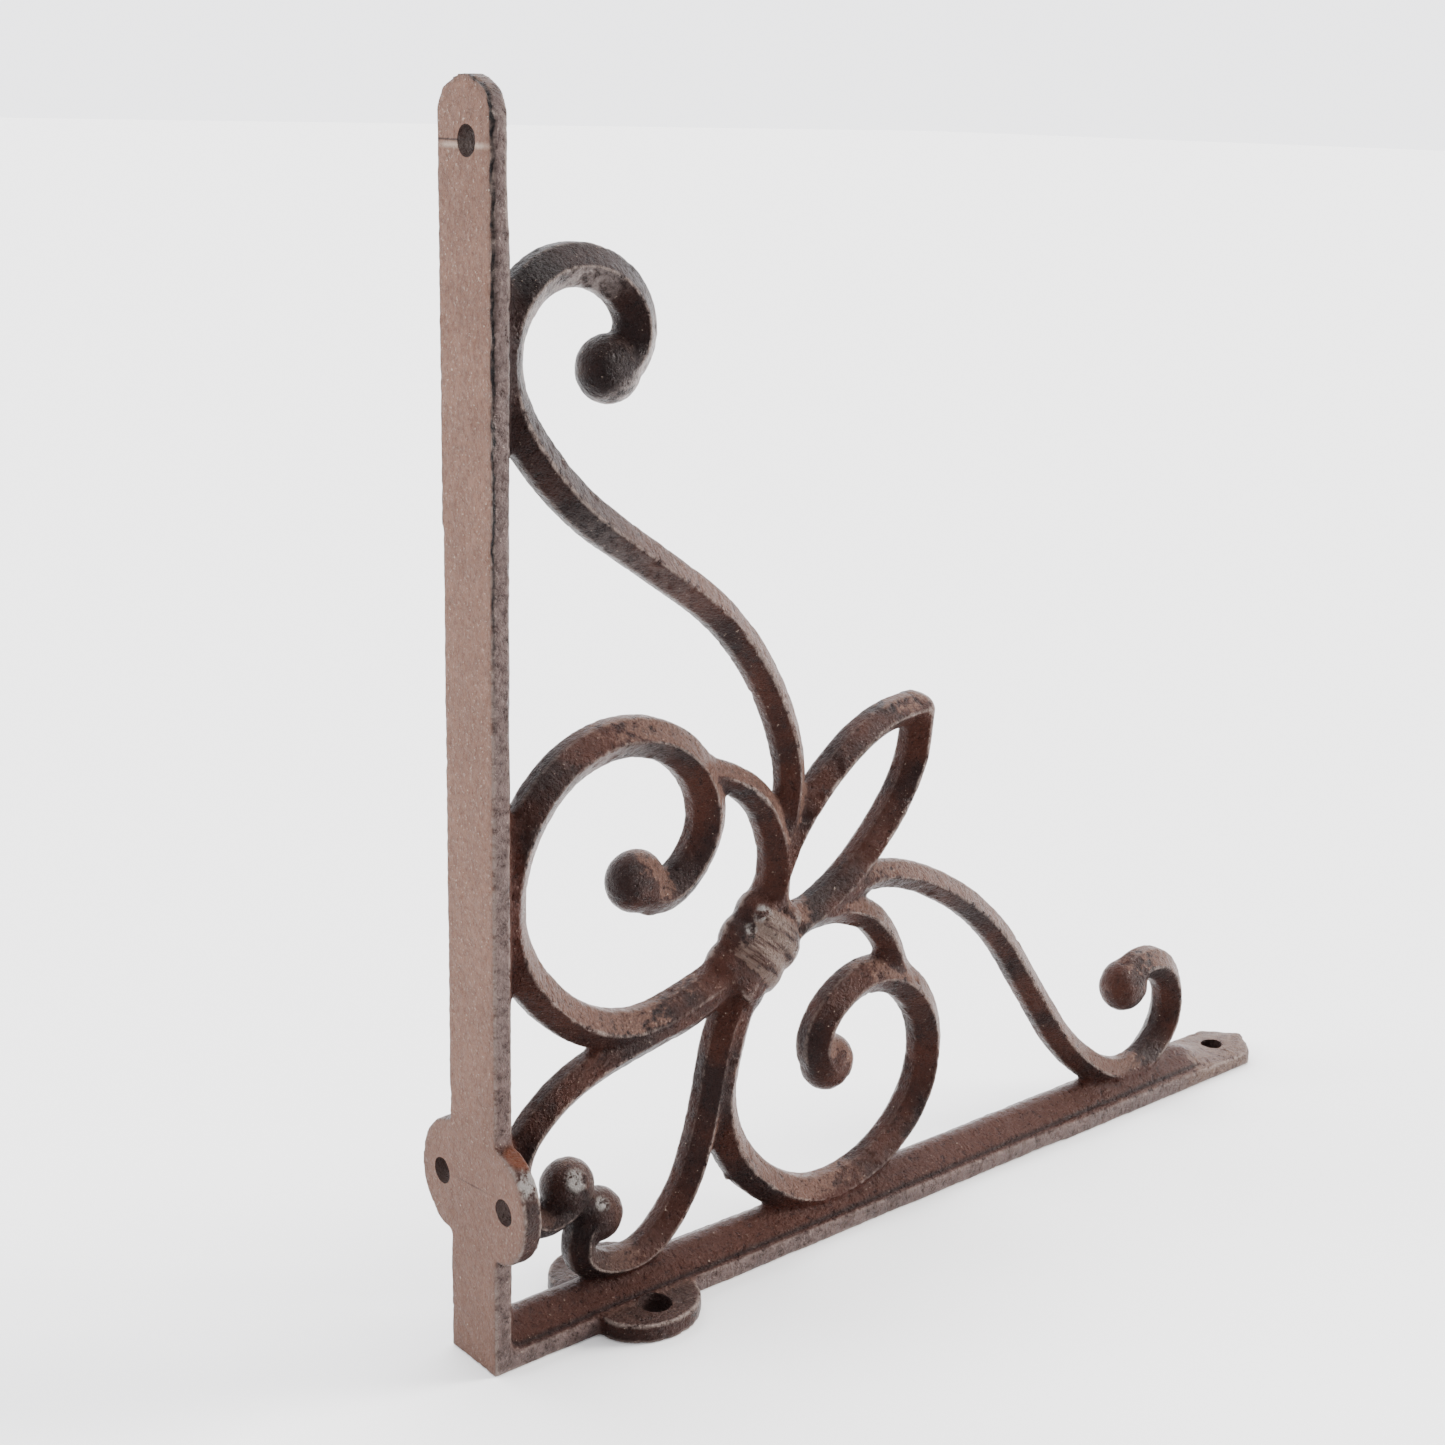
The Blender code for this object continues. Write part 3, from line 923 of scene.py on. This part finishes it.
# Colours of the metal, its film, its dust and its wear, and of the painted light and shade on it
RED_BROWN = (0.034, 0.0090, 0.0046, 1.0)
DEEP_BROWN = (0.012, 0.0036, 0.0026, 1.0)
SLOPE_BROWN = (0.034, 0.0068, 0.0026, 1.0)
BLACK_BROWN = (0.003, 0.0015, 0.0017, 1.0)
TAN = (0.125, 0.066, 0.048, 1.0)
TAN_DARK = (0.062, 0.030, 0.021, 1.0)
STRAND = (0.134, 0.096, 0.079, 1.0)
DUST = (0.190, 0.103, 0.073, 1.0)
DUST_DARK = (0.118, 0.062, 0.044, 1.0)
DUST_LOW = (0.085, 0.044, 0.032, 1.0)
PLATE_GREY = (0.120, 0.076, 0.058, 1.0)
STRIP_GREY = (0.112, 0.078, 0.071, 1.0)
STRIP_DARK = (0.040, 0.024, 0.021, 1.0)
WORN = (0.200, 0.155, 0.135, 1.0)
FLOOR_REFLECTION_GREY = (0.185, 0.152, 0.142, 1.0)
PALE_SPECK_AND_GLINT = (0.380, 0.300, 0.245, 1.0)
BARE_METAL_AND_HIGHLIGHT = (0.190, 0.176, 0.164, 1.0)
RUST = (0.085, 0.023, 0.008, 1.0)

# Noises: features per metre, detail and roughness. The strands' noise is drawn out along the winding
NOISES = {
    "blotch": (70.0, 4.0, 0.55),
    "grain": (600.0, 4.0, 0.65),
    "sand": (1700.0, 3.0, 0.7),
    "fine": (1000.0, 4.0, 0.75),
}
STRAND_NOISE = (700.0, 3.0, 0.6)
SEAM_WANDER_NOISE = (260.0, 3.0, 0.55)
SEAM_BREAK_NOISE = (420.0, 2.0, 0.55)
WINDING = [(0.71, 0.0, 0.71), (0.08, 0.0, -0.08), (0.0, 0.12, 0.0)]

# Zones noted on the skin by dress() and drill()
ZONES = [
    "arris", "hollow", "flat", "plate", "strip", "slope", "up", "crease", "collar", "lit_film", "floor_reflection", "low",
    "bare_and_highlight", "rust", "bore",
]

# A span is the noise or zone it follows, where that starts and ends, and the result at each. A layer is
# a colour with the spans that its share is multiplied from, and it lies over the layers before it.
BROWN_LAYERS = [(RED_BROWN, [("blotch", 0.40, 0.60, 0.0, 1.0)])]
TAN_LAYERS = [(TAN, [("sand", 0.40, 0.62, 0.0, 1.0)])]
STRIP_LAYERS = [(STRIP_GREY, [("grain", 0.34, 0.60, 0.0, 1.0)])]
PLATE_LAYERS = [(PLATE_GREY, [("grain", 0.36, 0.56, 0.0, 1.0)])]
# Painted shade in black brown where the pale film is lost and in the hollows, and dark grain at random
PAINTED_SHADE_AND_GRAIN_LAYERS = [
    (BLACK_BROWN, [("lit_film", 0.0, 1.0, 0.75, 0.0)]),
    (BLACK_BROWN, [("grain", 0.30, 0.46, 0.5, 0.0)]),
    (BLACK_BROWN, [("hollow", -0.15, -1.3, 0.0, 0.8)]),
]
DUST_LAYERS = [
    (DUST_DARK, [("blotch", 0.35, 0.65, 0.0, 0.5)]),
    (DUST_LOW, [("fine", 0.40, 0.56, 0.6, 0.0)]),
    (RED_BROWN, [("sand", 0.28, 0.36, 0.6, 0.0)]),
    (PALE_SPECK_AND_GLINT, [("sand", 0.60, 0.66, 0.0, 0.5)]),
    (DUST_LOW, [("low", 0.2, 1.0, 0.1, 0.65)]),
]
# Wear, rust and bare metal, with the painted reflection of the floor, painted glints and painted highlights
# on the eyes and collar
WEAR_AND_PAINTED_HIGHLIGHT_LAYERS = [
    (FLOOR_REFLECTION_GREY, [("floor_reflection", 0.0, 1.0, 0.0, 1.0), ("grain", 0.40, 0.56, 0.1, 0.85)]),
    (WORN, [("arris", 0.10, 0.21, 0.0, 1.0), ("grain", 0.36, 0.54, 0.0, 1.0), ("flat", 0.2, 0.7, 0.75, 0.2)]),
    # Pale specks of sand, partly painted glints
    (PALE_SPECK_AND_GLINT, [("sand", 0.64, 0.70, 0.0, 0.8), ("grain", 0.50, 0.62, 0.0, 1.0)]),
    (RUST, [("rust", 0.25, 0.55, 0.0, 1.0), ("flat", 0.1, 0.5, 0.85, 0.0)]),
    (BARE_METAL_AND_HIGHLIGHT, [("bare_and_highlight", 0.2, 0.6, 0.0, 1.0), ("grain", 0.44, 0.56, 0.0, 1.0),
                  ("flat", 0.1, 0.5, 0.85, 0.0)]),
]

# The pale film's ragged edge, its loss on the legs' slopes and between the collar's strands. The film is
# partly dust and partly painted light
RAGGED_SPAN = ("grain", 0.3, 0.7, -0.45, 0.45)
LIT_FILM_EDGE = (0.35, 0.62, 0.0, 0.8)
LIT_FILM_ON_SLOPE_SPAN = ("slope", 0.0, 1.0, 1.0, 0.15)
STRAND_EDGE = (0.42, 0.58, 0.0, 1.0)
FRAYED_EDGE = (0.40, 0.50, 0.95, 0.0)

# Results of the marks at the limits that are given in millimetres above, and the seam's breaks
LIP_HIGHLIGHT_RESULTS = (0.7, 0.3)
NICK_RESULTS = (0.0, 0.9)
SEAM_RESULTS = (0.0, 2.2)
SEAM_WANDER_LIMITS = (0.3, 0.7)
SEAM_BREAK = (0.36, 0.56, 0.45, 1.0)
SEAM_ON_FLAT_SPAN = ("flat", 0.70, 0.90, 1.0, 0.0)

# Most of its own colour that each zone takes
SLOPE_SHARE = 0.8
STRIP_SHARE = 0.8
PLATE_SHARE = 0.85
CREASE_SHADE_SHARE = 0.85
COLLAR_SHARE = 0.9
CRACK_SHARE = 0.75
BORE_SHADE_SHARE = 0.92

# Gloss, metal and fine relief, in metres
ROUGHNESS_SPAN = ("grain", 0.35, 0.65, 0.26, 0.42)
FLAT_ROUGHNESS = 0.25
SPECULAR = 0.15
METAL_SPAN = ("flat", 0.0, 0.6, 0.3, 0.0)
SAND_IN_BUMP = 0.8
BUMP_HEIGHT = 0.0012
BUMP_STRENGTH = 0.9


class Iron(Nodes):
    """The cast iron's nodes, with its noises and the skin's zones by name."""

    def __init__(self, material):
        super().__init__(material)
        self.place = self.tree.nodes.new("ShaderNodeTexCoord").outputs["Object"]
        self.maps = {name: self.noise(self.place, *shape) for name, shape in NOISES.items()}
        self.maps.update({name: self.attribute(name) for name in ZONES})

    def followed(self, *spans):
        """The product of spans."""
        product = None
        for name, *numbers in spans:
            result = self.span(self.maps[name], *numbers)
            product = result if product is None else self.math("MULTIPLY", product, result)
        return product

    def layered(self, colour, layers):
        """A colour under layers of others."""
        for over, spans in layers:
            colour = self.mix(self.followed(*spans), colour, over)
        return colour

    def part(self, name, share):
        """A share of a noise or zone."""
        return self.math("MULTIPLY", self.maps[name], share)


def metres(values):
    return [value * MM for value in values]


def bar_colour(n):
    """Brown metal with a pale film, partly dust and partly painted light, on the facets that face the light,
    in strands on the collar, and painted shade where the film is lost and in the hollows.
    """
    brown = n.layered(DEEP_BROWN, BROWN_LAYERS)
    brown = n.mix(n.part("slope", SLOPE_SHARE), brown, SLOPE_BROWN)
    ragged = n.math("ADD", n.maps["up"], n.followed(RAGGED_SPAN))
    lit_film = n.math("MULTIPLY", n.span(ragged, *LIT_FILM_EDGE), n.followed(LIT_FILM_ON_SLOPE_SPAN))
    lit_film = n.math("MULTIPLY", lit_film, n.maps["lit_film"])
    wound = n.joined(*(n.along(n.place, direction) for direction in WINDING))
    strands = n.noise(wound, *STRAND_NOISE)
    strand_colour = n.mix(n.span(strands, *STRAND_EDGE), TAN_DARK, STRAND)
    tan = n.mix(n.part("collar", COLLAR_SHARE), n.layered(TAN_DARK, TAN_LAYERS), strand_colour)
    frayed = n.math("MULTIPLY", n.maps["collar"], n.span(strands, *FRAYED_EDGE))
    lit_film = n.math("MULTIPLY", lit_film, n.math("SUBTRACT", 1.0, frayed))
    return n.layered(n.mix(lit_film, brown, tan), PAINTED_SHADE_AND_GRAIN_LAYERS)


def outer_face_colour(n, y, z):
    """Dust on the outer faces, with painted shade in the nick beside the tip hole, a painted highlight on its
    lip and the ear's crack.
    """
    dust = n.layered(DUST, DUST_LAYERS)
    # Painted highlight on the step below the nick
    lip = n.line(z, TIP_NICK - 3 * MARK_HALF_WIDTH, 2.5 * MARK_HALF_WIDTH)
    lip = n.math("MULTIPLY", lip, n.span(n.math("ABSOLUTE", y), *metres(NICK_EDGE), *LIP_HIGHLIGHT_RESULTS))
    dust = n.mix(lip, dust, PALE_SPECK_AND_GLINT)
    # Painted shade in the nick
    nick = n.line(z, TIP_NICK, MARK_HALF_WIDTH)
    nick = n.math("MULTIPLY", nick, n.span(y, 0.0, NICK_FADE * MM, *NICK_RESULTS))
    dust = n.mix(nick, dust, BLACK_BROWN)
    crack = n.line(n.along(n.place, (0.0, EAR_CRACK_FALL, 1.0)), EAR_CRACK, MARK_HALF_WIDTH)
    crack = n.math("MULTIPLY", crack, n.line(y, 0.0, EAR_CRACK_REACH))
    return n.mix(n.math("MULTIPLY", crack, CRACK_SHARE), dust, DEEP_BROWN)


def seam_line(n, x, z):
    """The mould seam as a dark line up the wall leg, which wanders a little and breaks: painted shade in its
    groove.
    """
    reach = SEAM_WANDER * MM
    wander = n.span(n.noise(n.place, *SEAM_WANDER_NOISE), *SEAM_WANDER_LIMITS, -reach, reach)
    seam = n.line(n.math("ADD", x, wander), SEAM_PLACE - LEG_LENGTH / 2, SEAM_HALF_WIDTH)
    seam = n.math("MULTIPLY", seam, n.span(z, *metres(SEAM_DARK_RISE), *SEAM_RESULTS), clamp=True)
    seam = n.math("MULTIPLY", seam, n.span(n.noise(n.place, *SEAM_BREAK_NOISE), *SEAM_BREAK))
    return n.math("MULTIPLY", seam, n.followed(SEAM_ON_FLAT_SPAN))


def patina():
    """Dark brown rubbed patina over sand-cast iron, dusty on the flats and worn on the arrises, with painted
    light, reflection, highlights and shade.
    """
    material = bpy.data.materials.new("cast_iron_patina_detail")
    n = Iron(material)
    x, y, z = (n.along(n.place, axis) for axis in ((1, 0, 0), (0, 1, 0), (0, 0, 1)))
    colour = n.mix(n.part("strip", STRIP_SHARE), bar_colour(n), n.layered(STRIP_DARK, STRIP_LAYERS))
    colour = n.mix(n.part("plate", PLATE_SHARE), colour, n.layered(RED_BROWN, PLATE_LAYERS))
    # Painted shade in the creases behind the legs' lips and in the seam's groove
    colour = n.mix(n.part("crease", CREASE_SHADE_SHARE), colour, BLACK_BROWN)
    colour = n.mix(n.maps["flat"], colour, outer_face_colour(n, y, z))
    colour = n.layered(colour, WEAR_AND_PAINTED_HIGHLIGHT_LAYERS)
    # Painted shade in the mould seam's groove
    colour = n.mix(seam_line(n, x, z), colour, BLACK_BROWN)
    # Painted shade on the walls of the screw holes
    colour = n.mix(n.part("bore", BORE_SHADE_SHARE), colour, DEEP_BROWN)
    n.link(colour, n.shader.inputs["Base Color"])

    rough = n.math("ADD", n.followed(ROUGHNESS_SPAN), n.part("flat", FLAT_ROUGHNESS))
    n.link(rough, n.shader.inputs["Roughness"])
    n.shader.inputs["Specular IOR Level"].default_value = SPECULAR
    n.link(n.followed(METAL_SPAN), n.shader.inputs["Metallic"])
    height = n.math("ADD", n.maps["grain"], n.part("sand", SAND_IN_BUMP))
    n.link(n.bump(height, BUMP_HEIGHT, BUMP_STRENGTH), n.shader.inputs["Normal"])
    return material


def plain_floor():
    material = bpy.data.materials.new("pale_floor")
    material.use_nodes = True
    shader = material.node_tree.nodes["Principled BSDF"]
    shader.inputs["Base Color"].default_value = FLOOR_COLOUR
    shader.inputs["Roughness"].default_value = FLOOR_ROUGHNESS
    return material


# Studio, in metres

FLOOR_HALF_SIZE = 14.0
FLOOR_DROP = 0.0001
FLOOR_COLOUR = (0.96, 0.96, 0.96, 1.0)
FLOOR_ROUGHNESS = 0.8

# The room brightens towards the backdrop, between two limits of how much a direction faces it
BACKDROP_DIRECTION = (0.64, 0.77, 0.0)
ROOM_LIMITS = (-0.6, 0.9)
ROOM_DIM = 1.15
ROOM_BRIGHT = 3.35
ROOM_COLOUR = (0.97, 0.97, 1.0, 1.0)

# Soft lights: the direction each comes from, its strength, spread in degrees and colour
SOFT_LIGHTS = {
    "key": ((1.0, -0.45, 0.38), 7.5, 22.0, (1.0, 0.975, 0.94)),
    "top": ((0.1, 0.3, 1.0), 2.6, 50.0, (1.0, 0.99, 0.98)),
    "fill": ((-1.0, 0.45, 0.45), 2.8, 28.0, (0.98, 0.98, 1.0)),
}

CAMERA_PLACE = (-0.32319, -0.31022, 0.23803)
CAMERA_TURN_DEGREES = (73.786, -1.391, -39.802)
FOCAL_LENGTH = 53.483
SENSOR_WIDTH = 36.0
CLIP_DISTANCES = (0.01, 60.0)


def add_floor():
    mesh = bpy.data.meshes.new("floor")
    s, under = FLOOR_HALF_SIZE, -FLOOR_DROP
    corners = [(-s, -s, under), (s, -s, under), (s, s, under), (-s, s, under)]
    mesh.from_pydata(corners, [], [(0, 1, 2, 3)])
    floor = bpy.data.objects.new("floor", mesh)
    bpy.context.collection.objects.link(floor)
    floor.data.materials.append(plain_floor())


def add_soft_light(name, towards, strength, spread_degrees, colour):
    """A large soft light a long way off in the given direction."""
    light = bpy.data.lights.new(name, "SUN")
    light.energy = strength
    light.angle = math.radians(spread_degrees)
    light.color = colour
    lamp = bpy.data.objects.new(name, light)
    lamp.rotation_euler = Vector(towards).to_track_quat("Z", "Y").to_euler()
    bpy.context.collection.objects.link(lamp)


def add_studio():
    """A room that is bright on the backdrop's side and dim on the other, and three soft lights."""
    world = bpy.data.worlds.new("studio")
    world.use_nodes = True
    nodes, links = world.node_tree.nodes, world.node_tree.links
    direction = nodes.new("ShaderNodeTexCoord").outputs["Generated"]
    facing = nodes.new("ShaderNodeVectorMath")
    facing.operation = "DOT_PRODUCT"
    facing.inputs[1].default_value = BACKDROP_DIRECTION
    links.new(direction, facing.inputs[0])
    strength = nodes.new("ShaderNodeMapRange")
    strength.interpolation_type = "SMOOTHSTEP"
    strength.inputs["From Min"].default_value = ROOM_LIMITS[0]
    strength.inputs["From Max"].default_value = ROOM_LIMITS[1]
    strength.inputs["To Min"].default_value = ROOM_DIM
    strength.inputs["To Max"].default_value = ROOM_BRIGHT
    links.new(facing.outputs["Value"], strength.inputs["Value"])
    links.new(strength.outputs["Result"], nodes["Background"].inputs["Strength"])
    nodes["Background"].inputs["Color"].default_value = ROOM_COLOUR
    bpy.context.scene.world = world
    for name, light in SOFT_LIGHTS.items():
        add_soft_light(name, *light)


def add_camera():
    data = bpy.data.cameras.new("camera")
    data.lens = FOCAL_LENGTH
    data.sensor_fit = "HORIZONTAL"
    data.sensor_width = SENSOR_WIDTH
    data.clip_start, data.clip_end = CLIP_DISTANCES
    camera = bpy.data.objects.new("camera", data)
    camera.location = CAMERA_PLACE
    camera.rotation_euler = [math.radians(angle) for angle in CAMERA_TURN_DEGREES]
    bpy.context.collection.objects.link(camera)
    bpy.context.scene.camera = camera


def as_lists(bounds):
    return [[float(value) for value in corner] for corner in bounds]


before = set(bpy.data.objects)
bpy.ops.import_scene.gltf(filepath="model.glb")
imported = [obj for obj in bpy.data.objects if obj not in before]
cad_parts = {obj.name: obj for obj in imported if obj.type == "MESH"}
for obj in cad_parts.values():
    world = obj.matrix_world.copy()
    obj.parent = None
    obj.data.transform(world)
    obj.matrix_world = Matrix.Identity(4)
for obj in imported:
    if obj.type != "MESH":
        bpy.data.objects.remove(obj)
solid_box = as_lists(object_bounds())

casting = rough_bodies()
fuse(casting)
dress(casting, solid_box)
lighten(casting)
keep_inside(casting, solid_box)
drill(casting, hole_cutters())
casting.data.materials.clear()
casting.data.materials.append(patina())
for polygon in casting.data.polygons:
    polygon.use_smooth = True
casting.data.set_sharp_from_angle(angle=math.radians(RIM_DEGREES))
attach(casting, "root")
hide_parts("bracket")
print("casting", len(casting.data.vertices), "points", len(casting.data.polygons), "faces")

add_floor()
add_studio()
add_camera()
